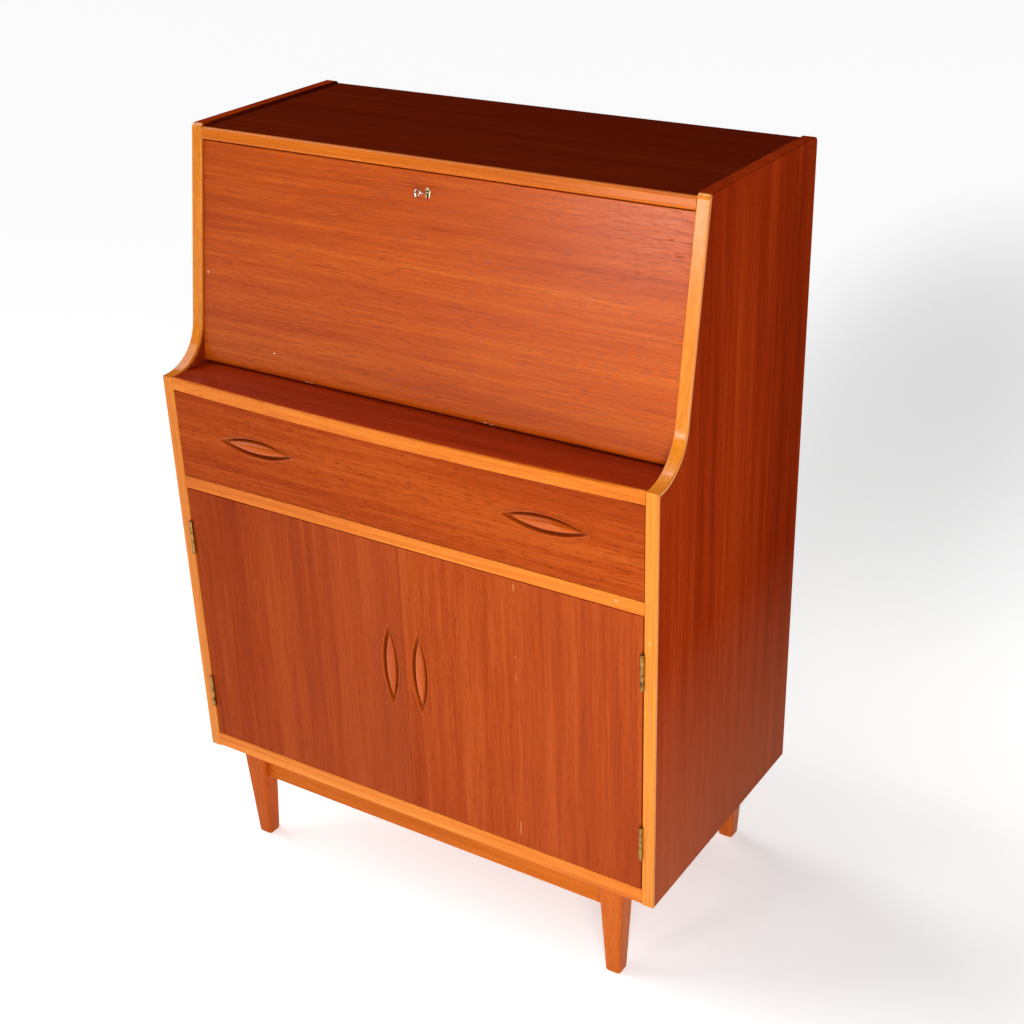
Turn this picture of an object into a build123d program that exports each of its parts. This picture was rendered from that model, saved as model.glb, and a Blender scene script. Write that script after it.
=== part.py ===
"""Fall-front secretary desk: raked fall over a bowed ledge, long drawer, two-door cupboard.

Units are millimetres. The origin is on the floor, at the middle of the desk's plan.
+Z is up, the front faces -Y and +X is to the right of someone sitting at the desk.
"""
from build123d import *
import os
from math import atan, atan2, cos, degrees, radians, sin, sqrt, tan

os.makedirs("parts", exist_ok=True)

# ---- driving dimensions ----
WIDTH = 760.0             # over the side panels
CARCASS_DEPTH = 406.0     # side panels, front to back
LEDGE_BOW = 11.0          # how far the ledge bows forward at its middle
HEIGHT = 1070.0           # floor to the top of the side panels
SIDE_FOOT = 154.0         # floor to the bottom of the side panels
BOARD = 17.0              # veneered boards
TOP_BOARD = 16.0          # top panel
TOP_SINK = 4.0            # the sides stand proud of the top by this much
LIP = 4.0                 # solid lipping glued to the front edges
RAKE = 9.5                # degrees that the fall leans back from vertical
LEDGE_TOP = 753.0         # height of the ledge
RAKE_FOOT = -137.0        # where the line of the raked edges meets the ledge's level
SWEEP = 65.0              # radius that joins the raked edge to the ledge
DRAWER_SILL = 607.5       # top of the rail under the drawer
DOOR_SILL = 178.0         # top of the rail under the doors
BACK = 5.0                # back panel

# ---- fall and its hardware ----
FALL_RECESS = 4.5         # the fall's face sits behind the raked edges by this much
FALL_REACH = 289.4        # pivot to the fall's top edge, along the fall
FALL_GAP = 0.75           # at each end of the fall
FALL_LIFT = 0.5           # rounded foot of the fall above the ledge
FALL_SWING = 90.0 + RAKE  # closed to flat
PIN = 3.0                 # pivot pin radius
RUNNING = 0.05            # radial clearance of pins that turn
STAY_RADIUS = 150.0       # pivot to the stay's rivet, and pivot to the stay's stud
STAY_START = 8.0          # degrees between rivet and stud when the fall is shut
STAY_STAND = 8.0          # the stay's rivet stands this far off the fall
BOLT_THROW = 7.0
KEY_UP = 266.0            # pivot to the key's axis, along the fall

# ---- drawer, doors, pulls ----
DRAWER_PLAY = 0.8
DOOR_PLAY = 1.0           # above and below a door
DOOR_MEETING = 0.5        # gap between the two doors at their faces
MEETING_BEVEL = 0.9       # the meeting edges are planed back so that either door clears the other
HINGE_PLAY = 2.0          # between a door's edge and the side panel
FACE_SET = 0.5            # drawer and door faces sit behind the carcass's front
HINGE_HEIGHTS = (254.0, 511.0)
HINGE_LENGTH = 51.0
KNUCKLE = 2.75
DOOR_PIN = 1.25
PULL_LONG = 133.0
PULL_WIDE = 29.0
DRAWER_PULL_X = 225.0
DRAWER_PULL_Z = 677.0
DOOR_PULL_X = 24.0
DOOR_PULL_Z = 402.0
DRAWER_TRAVEL = 300.0

# ---- legs ----
LEG_X = 309.0
LEG_SETBACK = 28.5        # from the carcass's front and back faces to the leg's middle
LEG_TOP = 38.0
LEG_FOOT = 23.0
APRON = 18.0
APRON_FOOT = 105.0

# ---- places worked out from them ----
HALF = WIDTH / 2
INNER = HALF - BOARD
Y_BACK = (CARCASS_DEPTH + LEDGE_BOW) / 2
Y_FRONT = Y_BACK - CARCASS_DEPTH
Y_BOARD_BACK = Y_BACK - BACK
FACE_Y = Y_FRONT + FACE_SET
FACE_BACK = FACE_Y + BOARD
TOP_Z = HEIGHT - TOP_SINK
TOP_UNDER = TOP_Z - TOP_BOARD
DESK_UNDER = LEDGE_TOP - BOARD
DUST_UNDER = DRAWER_SILL - BOARD
BOTTOM_UNDER = DOOR_SILL - BOARD
RAIL_FOOT = DUST_UNDER - 2.0
LEDGE_LIP_FOOT = DESK_UNDER - 1.0
BED_TOP = LEDGE_TOP + BOARD
LEG_FRONT_Y = Y_FRONT + LEG_SETBACK
LEG_BACK_Y = Y_BACK - LEG_SETBACK
HALF_FALL = BOARD / 2
PIVOT_Z = LEDGE_TOP + FALL_LIFT + HALF_FALL
FALL_END = INNER - FALL_GAP
SIDES = {"left": -1, "right": 1}


def rake_y(z, behind=0.0):
    """Y of the raked front plane at height z, or of a plane that far behind it."""
    return RAKE_FOOT + (z - LEDGE_TOP) * tan(radians(RAKE)) + behind / cos(radians(RAKE))


PIVOT_Y = rake_y(PIVOT_Z, FALL_RECESS + HALF_FALL)


def save(node, shape):
    export_step(shape, f"parts/{node}.step")


def block(x0, x1, y0, y1, z0, z1):
    """A box between two corners, given in any order."""
    size = Box(abs(x1 - x0), abs(y1 - y0), abs(z1 - z0))
    return Pos((x0 + x1) / 2, (y0 + y1) / 2, (z0 + z1) / 2) * size


def rod(x0, x1, y, z, radius):
    """A round bar along X."""
    turned = Rot(0, 90, 0) * Cylinder(radius, abs(x1 - x0))
    return Pos((x0 + x1) / 2, y, z) * turned


def post(x, y, z0, z1, radius):
    """A round bar along Z."""
    return Pos(x, y, (z0 + z1) / 2) * Cylinder(radius, z1 - z0)


def profile(points, x0, x1):
    """A solid from x0 to x1 whose section is a polygon of (y, z) points."""
    face = make_face(Polyline(*points, close=True))
    return Pos(x0, 0, 0) * extrude(Plane.YZ * face, x1 - x0)


def on_fall(shape):
    """Places a shape made upright, with the pivot at its origin, in the closed fall."""
    return Pos(0, PIVOT_Y, PIVOT_Z) * Rot(-RAKE, 0, 0) * shape


def screw(length, head=3.0, shank=1.5):
    """Countersunk wood screw, its head's face at the origin and its point along -Z."""
    sink = head - shank
    body = Pos(0, 0, -sink / 2) * Cone(shank, head, sink)
    body += Pos(0, 0, -(sink + length) / 2) * Cylinder(shank, length - sink)
    return body - Box(2 * head, 0.7, 0.9)


def joined(shapes):
    """Separate solids of one node."""
    return Compound(children=list(shapes))


def cut_by(shape, tools):
    for tool in tools:
        shape = shape - tool
    return shape


# ---- side panels: raked above, square below, joined by the sweep ----

def side_region(inset):
    """Everything behind the side panel's front edge, moved back by inset."""
    lean = radians(RAKE)
    rake_up = Vector(sin(lean), cos(lean))
    foot = Vector(rake_y(LEDGE_TOP - inset, inset), LEDGE_TOP - inset)
    radius = SWEEP + inset
    reach = radius * tan(radians(90 - RAKE) / 2)
    start = foot + rake_up * reach
    end = foot - Vector(reach, 0)
    centre = end + Vector(0, radius)
    bisector = (foot - centre).normalized()
    middle = centre + bisector * radius
    beyond = 40.0
    top = foot + rake_up * ((HEIGHT + beyond - foot.Y) / cos(lean))
    step = Vector(Y_FRONT + inset, LEDGE_TOP - inset)
    far_low = (Y_BACK + beyond, SIDE_FOOT - beyond)
    far_high = (Y_BACK + beyond, HEIGHT + beyond)
    edge = Line((top.X, top.Y), (start.X, start.Y))
    edge += ThreePointArc((start.X, start.Y), (middle.X, middle.Y), (end.X, end.Y))
    edge += Polyline((end.X, end.Y), (step.X, step.Y), (step.X, SIDE_FOOT - beyond),
                     far_low, far_high, (top.X, top.Y))
    return make_face(edge)


band = Pos(0, (SIDE_FOOT + HEIGHT) / 2) * Rectangle(2 * Y_BACK, HEIGHT - SIDE_FOOT)
outline = side_region(0) & band
high_corners = outline.vertices().group_by(Axis.Y)[-1]
outline = fillet(high_corners, 7.0)
panel_face = outline & side_region(LIP)
lip_face = outline - side_region(LIP)


def hinge_axis(side):
    return side * (INNER - HINGE_PLAY / 2), Y_FRONT - 1.8


def hinge_screws(side, carcass):
    """The three screws of every leaf on one side, into the carcass or into the door."""
    found = []
    face = INNER if carcass else INNER - HINGE_PLAY
    outward = side if carcass else -side
    for height in HINGE_HEIGHTS:
        for step in (-17.0, 0.0, 17.0):
            turned = Rot(0, -90 * outward, 0) * screw(13.0)
            found.append(Pos(side * face, Y_FRONT + 14.0, height + step) * turned)
    return found


def knuckle_spans(height, carcass):
    """Heights of a leaf's own knuckles: three on the carcass leaf, two on the door leaf."""
    pitch = HINGE_LENGTH / 5
    low = height - HINGE_LENGTH / 2
    order = (0, 2, 4) if carcass else (1, 3)
    return [(low + i * pitch + 0.15, low + (i + 1) * pitch - 0.15) for i in order]


def hinge_leaf(side, height, carcass):
    x_pin, y_pin = hinge_axis(side)
    thick = 1.2
    face = INNER if carcass else INNER - HINGE_PLAY
    away = side if carcass else -side
    low = height - HINGE_LENGTH / 2
    leaf = block(side * face, side * face + away * thick, y_pin, Y_FRONT + 23.0,
                 low, low + HINGE_LENGTH)
    for z0, z1 in knuckle_spans(height, not carcass):
        leaf -= post(x_pin, y_pin, z0 - 0.3, z1 + 0.3, KNUCKLE + 0.3)
    for z0, z1 in knuckle_spans(height, carcass):
        leaf += post(x_pin, y_pin, z0, z1, KNUCKLE)
    play = 0.0 if carcass else RUNNING
    return leaf - post(x_pin, y_pin, low - 1, low + HINGE_LENGTH + 1, DOOR_PIN + play)


def knuckle_notches(side):
    """Room cut in the carcass and in a door for the knuckles to turn in."""
    x_pin, y_pin = hinge_axis(side)
    half = HINGE_LENGTH / 2 + 0.3
    return [post(x_pin, y_pin, h - half, h + half, KNUCKLE + 0.3) for h in HINGE_HEIGHTS]


def shelf_peg(side, y):
    return rod(side * (INNER - 8.0), side * (INNER + 8.0), y, SHELF_UNDER - 3.0, 3.0)


def pivot_pin(side):
    return rod(side * (INNER - 12.0), side * (INNER + 10.0), PIVOT_Y, PIVOT_Z, PIN)


SHELF_UNDER = 370.0
SHELF_BOARD = 15.0
SHELF_Y = (Y_FRONT + 48.0, Y_BOARD_BACK - 8.0)
PEG_YS = (Y_FRONT + 78.0, Y_BOARD_BACK - 38.0)
RUNNER_FOOT = 655.0
RUNNER_TALL = 11.0
RUNNER_WIDE = 9.0

# the stay's rivet and stud are equally far from the pivot, so the stay turns on the fall
# by exactly half of the fall's own angle and its slot never leaves the stud
RIVET_OFF = HALF_FALL + STAY_STAND
RIVET_UP = sqrt(STAY_RADIUS ** 2 - RIVET_OFF ** 2)
RIVET_ANGLE = 90 - RAKE - degrees(atan(RIVET_OFF / RIVET_UP))
STUD_ANGLE = RIVET_ANGLE - STAY_START
RIVET_Y = PIVOT_Y + STAY_RADIUS * cos(radians(RIVET_ANGLE))
RIVET_Z = PIVOT_Z + STAY_RADIUS * sin(radians(RIVET_ANGLE))
STUD_Y = PIVOT_Y + STAY_RADIUS * cos(radians(STUD_ANGLE))
STUD_Z = PIVOT_Z + STAY_RADIUS * sin(radians(STUD_ANGLE))
STUD = 2.5
SHUT_REACH = 2 * STAY_RADIUS * sin(radians(STAY_START / 2))
OPEN_REACH = 2 * STAY_RADIUS * sin(radians((STAY_START + FALL_SWING) / 2))
STAY_X = INNER - 4.5      # middle of the stay bar's thickness


def runner_screws(side):
    turned = Rot(0, -90 * side, 0) * screw(18.0)
    middle = RUNNER_FOOT + RUNNER_TALL / 2
    ys = (Y_FRONT + 50.0, 0.0, Y_BOARD_BACK - 40.0)
    return [Pos(side * (INNER - RUNNER_WIDE), y, middle) * turned for y in ys]


def stud_screws(side):
    turned = Rot(0, -90 * side, 0) * screw(10.0, head=2.4, shank=1.2)
    return [Pos(side * (INNER - 1.5), STUD_Y, STUD_Z + dz) * turned for dz in (-7.0, 7.0)]


def rebate_screws(side):
    """Screws through the back panel into the rebate of one side."""
    turned = Rot(-90, 0, 0) * screw(12.0, head=2.6, shank=1.2)
    heights = (200.0, 330.0, 460.0, 640.0, 800.0, 910.0, 1020.0)
    return [Pos(side * (INNER + 4.0), Y_BACK, z) * turned for z in heights]


carcass_screws = []
for name, side in SIDES.items():
    x0 = side * INNER
    x1 = side * HALF
    panel = Pos(min(x0, x1), 0, 0) * extrude(Plane.YZ * panel_face, BOARD)
    lipping = Pos(min(x0, x1), 0, 0) * extrude(Plane.YZ * lip_face, BOARD)
    panel -= block(x0, x0 + side * 8.0, Y_BOARD_BACK, Y_BACK, BOTTOM_UNDER, TOP_UNDER)
    rim = panel.edges().filter_by_position(Axis.X, x1 - 0.01, x1 + 0.01)
    rim = rim.filter_by(lambda e: e.center().Y > Y_BACK - 0.5 or e.center().Z > HEIGHT - 0.5)
    panel = fillet(rim, 1.2)
    front_rim = [e for e in lipping.edges()
                 if min(abs(e.center().X - x0), abs(e.center().X - x1)) < 0.01]
    proud = []
    for edge in front_rim:
        c = edge.center()
        behind_front = c.Y - Y_FRONT
        behind_rake = (c.Y - rake_y(c.Z)) * cos(radians(RAKE))
        on_sweep = edge.geom_type == GeomType.CIRCLE and abs(edge.radius - SWEEP) < 0.1
        on_front = abs(behind_front) < 0.05 and c.Z < LEDGE_TOP
        on_rake = abs(behind_rake) < 0.05 and c.Z > LEDGE_TOP + 10
        if on_sweep or on_front or on_rake:
            proud.append(edge)
    lipping = fillet(proud, 1.6)
    leaves = [hinge_leaf(side, height, True) for height in HINGE_HEIGHTS]
    screws = hinge_screws(side, True) + runner_screws(side) + stud_screws(side)
    carcass_screws += screws
    panel = cut_by(panel, leaves + screws + [pivot_pin(side)] + rebate_screws(side))
    panel = cut_by(panel, [shelf_peg(side, y) for y in PEG_YS])
    lipping = cut_by(lipping, leaves + knuckle_notches(side))
    save(f"side_panel_{name}", panel)
    save(f"side_lipping_{name}", lipping)

# ---- boards across the carcass ----
TONGUE = 5.0              # thickness of the top, rail and sill lippings
front_at_top = rake_y(TOP_Z, TONGUE)
front_at_under = rake_y(TOP_UNDER, TONGUE)
top_panel = profile([(front_at_under, TOP_UNDER), (front_at_top, TOP_Z),
                     (Y_BACK, TOP_Z), (Y_BACK, TOP_UNDER)], -INNER, INNER)
top_lipping = profile([(rake_y(TOP_UNDER), TOP_UNDER), (rake_y(TOP_Z), TOP_Z),
                       (front_at_top, TOP_Z), (front_at_under, TOP_UNDER)], -INNER, INNER)
nose = top_lipping.edges().filter_by(Axis.X).group_by(Axis.Y)
top_lipping = fillet(nose[0] + nose[1], 4.0)

bolt_mortise = on_fall(block(-10.2, 10.2, 0.6, 7.4, FALL_REACH - 6, FALL_REACH + 10))
strike = block(-22.0, 22.0, -79.0, -61.0, TOP_UNDER, TOP_UNDER + 1.2)
strike_screws = [Pos(x, -70.0, TOP_UNDER) * Rot(180, 0, 0) * screw(10.0, head=2.4, shank=1.2)
                 for x in (-16.5, 16.5)]
top_panel = cut_by(top_panel, [bolt_mortise, strike] + strike_screws)
strike = cut_by(strike, [bolt_mortise] + strike_screws)


def bowed(set_back):
    """The desk board's plan, its front edge that far behind the ledge's bow."""
    ends = Y_FRONT + set_back
    front = ThreePointArc((-INNER, ends), (0, ends - LEDGE_BOW), (INNER, ends))
    rest = Polyline((INNER, ends), (INNER, Y_BOARD_BACK), (-INNER, Y_BOARD_BACK), (-INNER, ends))
    return make_face(front + rest)


desk_board = Pos(0, 0, DESK_UNDER) * extrude(bowed(LIP), BOARD)
ledge_lipping = Pos(0, 0, LEDGE_LIP_FOOT) * extrude(bowed(0) - bowed(LIP), LEDGE_TOP - LEDGE_LIP_FOOT)
bow_edges = [e for e in ledge_lipping.edges().filter_by(GeomType.CIRCLE)
             if e.center().Y < Y_FRONT - LEDGE_BOW + 1]
ledge_lipping = fillet(bow_edges, 1.5)

BED_FRONT = PIVOT_Y + 12.8
bed_panel = block(-INNER, INNER, BED_FRONT, Y_BOARD_BACK, LEDGE_TOP, BED_TOP)
dust_board = block(-INNER, INNER, Y_FRONT + TONGUE, Y_BOARD_BACK, DUST_UNDER, DRAWER_SILL)
mid_rail_lipping = block(-INNER, INNER, Y_FRONT, Y_FRONT + TONGUE, RAIL_FOOT, DRAWER_SILL)
bottom_board = block(-INNER, INNER, Y_FRONT + TONGUE, Y_BOARD_BACK, BOTTOM_UNDER, DOOR_SILL)
bottom_lipping = block(-INNER, INNER, Y_FRONT, Y_FRONT + TONGUE, SIDE_FOOT + 1.0, DOOR_SILL)


def ease_front(board, radius):
    """Rounds the two long edges of a board's front face."""
    edges = board.edges().filter_by(Axis.X).group_by(Axis.Y)[0]
    return fillet(edges, radius)


back_panel = block(-INNER - 8.0, INNER + 8.0, Y_BOARD_BACK, Y_BACK, BOTTOM_UNDER, TOP_UNDER)
back_screws = rebate_screws(-1) + rebate_screws(1)
for z in (BOTTOM_UNDER + BOARD / 2, DUST_UNDER + BOARD / 2, DESK_UNDER + BOARD / 2):
    for x in (-240.0, -80.0, 80.0, 240.0):
        back_screws.append(Pos(x, Y_BACK, z) * Rot(-90, 0, 0) * screw(14.0, head=2.6, shank=1.2))
back_panel = cut_by(back_panel, back_screws)
desk_board = cut_by(desk_board, back_screws[-4:])
dust_board = cut_by(dust_board, back_screws[-8:-4])
bottom_board = cut_by(bottom_board, back_screws[-12:-8])

save("top_panel", top_panel)
save("top_lipping", top_lipping)
save("strike_plate", strike)
save("desk_board", desk_board)
save("ledge_lipping", ledge_lipping)
save("bed_panel", ease_front(bed_panel, 1.0))
save("mid_rail_lipping", ease_front(mid_rail_lipping, 1.4))
save("bottom_lipping", ease_front(bottom_lipping, 1.4))
save("bottom_board", bottom_board)
save("back_panel", back_panel)

# ---- door catches under the dust board ----
catches = []
catch_screws = []
for side in SIDES.values():
    body = block(side * 30, side * 66, FACE_BACK + 1.6, FACE_BACK + 16.0, DUST_UNDER - 12.0, DUST_UNDER)
    catch_screw = Rot(180, 0, 0) * screw(22.0, head=2.4, shank=1.2)
    pair = [Pos(side * x, FACE_BACK + 9.0, DUST_UNDER - 12.0) * catch_screw for x in (35.0, 61.0)]
    catches.append(cut_by(body, pair))
    catch_screws += pair
dust_board = cut_by(dust_board, catch_screws)
save("dust_board", dust_board)
save("door_catches", joined(catches))
save("carcass_screws", joined(carcass_screws + back_screws + catch_screws + strike_screws))

# ---- underframe: four tapered legs, aprons and corner blocks ----
leg_solids = {}
for name, side in SIDES.items():
    for end, y in (("front", LEG_FRONT_Y), ("rear", LEG_BACK_Y)):
        head = Pos(0, 0, BOTTOM_UNDER) * RectangleRounded(LEG_TOP, LEG_TOP, 6.0)
        foot = RectangleRounded(LEG_FOOT, LEG_FOOT, 5.0)
        leg = loft([foot, head])
        leg = fillet(leg.edges().group_by(Axis.Z)[0], 2.5)
        leg_solids[end, name] = Pos(side * LEG_X, y, 0) * leg
        save(f"leg_{end}_{name}", leg_solids[end, name])

APRON_FRONT_Y = Y_FRONT + 25.5
apron_back_y = Y_BACK - 25.5
apron_out_x = LEG_X + 3.0
side_run = (APRON_FRONT_Y + APRON, apron_back_y - APRON)
rails = {
    "front": block(-LEG_X, LEG_X, APRON_FRONT_Y, APRON_FRONT_Y + APRON, APRON_FOOT, BOTTOM_UNDER),
    "rear": block(-LEG_X, LEG_X, apron_back_y - APRON, apron_back_y, APRON_FOOT, BOTTOM_UNDER),
    "left": block(-apron_out_x, APRON - apron_out_x, *side_run, APRON_FOOT, BOTTOM_UNDER),
    "right": block(apron_out_x - APRON, apron_out_x, *side_run, APRON_FOOT, BOTTOM_UNDER),
}
for name, rail in rails.items():
    low = rail.edges().filter_by(lambda e: abs(e.center().Z - APRON_FOOT) < 0.01 and e.length > 200)
    rail = cut_by(fillet(low, 1.5), leg_solids.values())
    rails[name] = rail.solids().sort_by(SortBy.VOLUME)[-1]
save("apron_front", rails["front"])
save("apron_rear", rails["rear"])
save("apron_sides", joined([rails["left"], rails["right"]]))

corner_blocks = []
for side in SIDES.values():
    for y, inward in ((APRON_FRONT_Y + APRON, 1), (apron_back_y - APRON, -1)):
        x = side * (apron_out_x - APRON)
        corner = Polyline((x, y), (x - side * 42.0, y), (x, y + inward * 42.0), close=True)
        wedge = Pos(0, 0, APRON_FOOT + 14.0) * extrude(make_face(corner), BOTTOM_UNDER - APRON_FOOT - 14.0)
        wedge = cut_by(wedge, leg_solids.values())
        corner_blocks.append(wedge.solids().sort_by(SortBy.VOLUME)[-1])
save("corner_blocks", joined(corner_blocks))

# ---- cupboard shelf on four pegs ----
shelf_end = INNER - 1
cupboard_shelf = block(-shelf_end, shelf_end, *SHELF_Y, SHELF_UNDER, SHELF_UNDER + SHELF_BOARD)
save("cupboard_shelf", ease_front(cupboard_shelf, 1.0))
save("shelf_pegs", joined([shelf_peg(side, y) for side in SIDES.values() for y in PEG_YS]))

# ---- letter rack inside the desk ----
RACK_END = INNER - 14.0
RACK_FRONT = 15.0
RACK_BOARD = 8.0
RACK_SHELF = 885.0
RACK_TOP = 925.0
RACK_BAYS = 4
rack_end = RACK_END - RACK_BOARD
cheek_outline = [(RACK_FRONT, BED_TOP), (RACK_FRONT + 14.0, RACK_TOP), (Y_BOARD_BACK, RACK_TOP),
                 (Y_BOARD_BACK, BED_TOP)]
divider_outline = [(RACK_FRONT + 4.0, BED_TOP), (RACK_FRONT + 16.0, RACK_SHELF),
                   (Y_BOARD_BACK, RACK_SHELF), (Y_BOARD_BACK, BED_TOP)]
uprights = [profile(cheek_outline, -RACK_END, -rack_end), profile(cheek_outline, rack_end, RACK_END)]
RACK_LEAN = 14.0
rack_shelf = block(-rack_end, rack_end, RACK_FRONT + RACK_LEAN, Y_BOARD_BACK, RACK_SHELF,
                   RACK_SHELF + RACK_BOARD)
save("rack_shelf", ease_front(rack_shelf, 0.8))
for number in range(1, RACK_BAYS):
    x = -rack_end + 2 * rack_end * number / RACK_BAYS
    uprights.append(profile(divider_outline, x - 3.0, x + 3.0))
save("rack_uprights", joined(uprights))

# ---- fall: stop, panel, pivots, lock, escutcheon and key ----
lean = radians(RAKE)


def fall_point(up, inward):
    """World (y, z) of a point of the closed fall, from the pivot."""
    y = PIVOT_Y + up * sin(lean) + inward * cos(lean)
    z = PIVOT_Z + up * cos(lean) - inward * sin(lean)
    return (y, z)


stop_low = fall_point(FALL_REACH - 9.0, HALF_FALL + 0.4)
stop_high = fall_point((TOP_UNDER - PIVOT_Z + (HALF_FALL + 0.4) * sin(lean)) / cos(lean), HALF_FALL + 0.4)
stop_back = stop_high[0] + 14.0
fall_stop = profile([stop_low, stop_high, (stop_back, TOP_UNDER), (stop_back, stop_low[1])], -INNER, INNER)
save("fall_stop", fall_stop)

heel_up = (HALF_FALL * sin(lean) - HALF_FALL) / cos(lean)
arc_middle = radians((180 - RAKE + 270) / 2)
arc_mid_point = (PIVOT_Y + HALF_FALL * cos(arc_middle), PIVOT_Z + HALF_FALL * sin(arc_middle))
toe = (PIVOT_Y, PIVOT_Z - HALF_FALL)
section = ThreePointArc(fall_point(0, -HALF_FALL), arc_mid_point, toe)
section += Polyline(toe, fall_point(heel_up, HALF_FALL), fall_point(FALL_REACH, HALF_FALL),
                    fall_point(FALL_REACH, -HALF_FALL), fall_point(0, -HALF_FALL))
fall_panel = Pos(-FALL_END, 0, 0) * extrude(Plane.YZ * make_face(section), 2 * FALL_END)
crown = fall_panel.edges().filter_by(Axis.X).group_by(Axis.Z)[-1]
fall_panel = fillet(crown, 1.2)

bushes = []
for side in SIDES.values():
    bush = rod(side * (FALL_END - 14.0), side * FALL_END, PIVOT_Y, PIVOT_Z, 4.8)
    bore = rod(side * (FALL_END - 13.0), side * (FALL_END + 5), PIVOT_Y, PIVOT_Z, PIN + RUNNING)
    bushes.append(bush - bore)
    fall_panel -= bush

LOCK_HALF = 25.0
LOCK_DROP = 32.0
LOCK_DEEP = 9.0
LOCK_FACE = HALF_FALL - LOCK_DEEP
lock_block = block(-LOCK_HALF, LOCK_HALF, LOCK_FACE, HALF_FALL, FALL_REACH - LOCK_DROP, FALL_REACH)
selvedge = block(-LOCK_HALF, LOCK_HALF, -5.5, HALF_FALL, FALL_REACH - 1.5, FALL_REACH)
bolt_rest = block(-9.0, 9.0, 2.0, 6.0, KEY_UP + 3.2, FALL_REACH - 0.4)
bolt_room = block(-9.4, 9.4, 1.6, 6.4, KEY_UP + 2.6, FALL_REACH + 1)
key_room = block(-9.4, 9.4, LOCK_FACE + 1.0, HALF_FALL - 1.2, KEY_UP - 8.6, KEY_UP + 9.2)
key_slot = block(-1.3, 1.3, -HALF_FALL - 3, 2.0, KEY_UP - 8.2, KEY_UP)
key_hole = Pos(0, -3.2, KEY_UP) * Rot(90, 0, 0) * Cylinder(2.3, 2 * HALF_FALL - 4)
lock_case = cut_by(lock_block + selvedge, [bolt_room, key_room, key_slot, key_hole])
lock_screw = Rot(-90, 0, 0) * screw(14.0, head=2.4, shank=1.2)
lock_screws = [Pos(x, HALF_FALL, FALL_REACH - drop) * lock_screw for x in (-20.0, 20.0) for drop in (8, 26)]

eye = Pos(0, 1.0) * Circle(4.0)
skirt = Pos(0, -5.0) * Circle(3.2)
ring_plan = make_hull((eye + skirt).edges())
escutcheon = extrude(ring_plan, 3.4)
escutcheon = fillet(escutcheon.edges().group_by(Axis.Z)[-1], 0.4)
escutcheon = Pos(0, -HALF_FALL + 3.0, KEY_UP) * Rot(90, 0, 0) * escutcheon
escutcheon_seat = escutcheon
escutcheon = cut_by(escutcheon, [key_slot, key_hole])

key = Pos(0, -9.0, KEY_UP) * Rot(90, 0, 0) * Cylinder(1.5, 32.0)
key += Pos(0, -HALF_FALL - 21.0, KEY_UP) * Rot(0, 90, 0) * Torus(5.0, 1.5)
key += Pos(0, -HALF_FALL - 12.5, KEY_UP) * Rot(90, 0, 0) * Cylinder(2.1, 1.6)
key += block(-0.7, 0.7, 1.9, 6.6, KEY_UP - 7.4, KEY_UP)
key -= block(-1.0, 1.0, 3.6, 4.6, KEY_UP - 8.0, KEY_UP - 4.4)

BRACKET_IN = STAY_X - 1.3          # face of the lug that the stay lies against
brackets = []
bracket_screws = []
for side in SIDES.values():
    plate = block(side * (BRACKET_IN - 2.0), side * (BRACKET_IN - 22.0), HALF_FALL, HALF_FALL + 1.6,
                  RIVET_UP - 15.0, RIVET_UP + 15.0)
    lug = block(side * BRACKET_IN, side * (BRACKET_IN - 2.0), HALF_FALL, RIVET_OFF,
                RIVET_UP - 7.0, RIVET_UP + 7.0)
    lug += rod(side * BRACKET_IN, side * (BRACKET_IN - 2.0), RIVET_OFF, RIVET_UP, 7.0)
    rivet = rod(side * (BRACKET_IN - 2.8), side * (STAY_X + 2.6), RIVET_OFF, RIVET_UP, 2.0)
    rivet_head = rod(side * (STAY_X + 1.4), side * (STAY_X + 2.6), RIVET_OFF, RIVET_UP, 3.6)
    bracket_screw = Rot(-90, 0, 0) * screw(12.0, head=2.6, shank=1.3)
    screw_x = side * (BRACKET_IN - 13.0)
    pair = [Pos(screw_x, HALF_FALL + 1.6, RIVET_UP + up) * bracket_screw for up in (-9.0, 9.0)]
    brackets.append(on_fall(cut_by(plate + lug, pair) + rivet + rivet_head))
    bracket_screws += pair

lock_case = cut_by(lock_case, lock_screws)
fall_tools = [lock_block, selvedge, key_slot, key_hole, escutcheon_seat] + lock_screws + bracket_screws
fall_panel = cut_by(fall_panel, [on_fall(tool) for tool in fall_tools])
save("fall_panel", fall_panel)
save("fall_pivot_bushes", joined(bushes))
save("fall_pivot_pins", joined([pivot_pin(side) for side in SIDES.values()]))
save("lock_case", on_fall(lock_case))
save("lock_bolt", on_fall(bolt_rest))
save("key", on_fall(key))
save("escutcheon", on_fall(escutcheon))
save("stay_brackets", joined(brackets))
save("fall_screws", joined([on_fall(s) for s in lock_screws + bracket_screws]))

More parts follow.
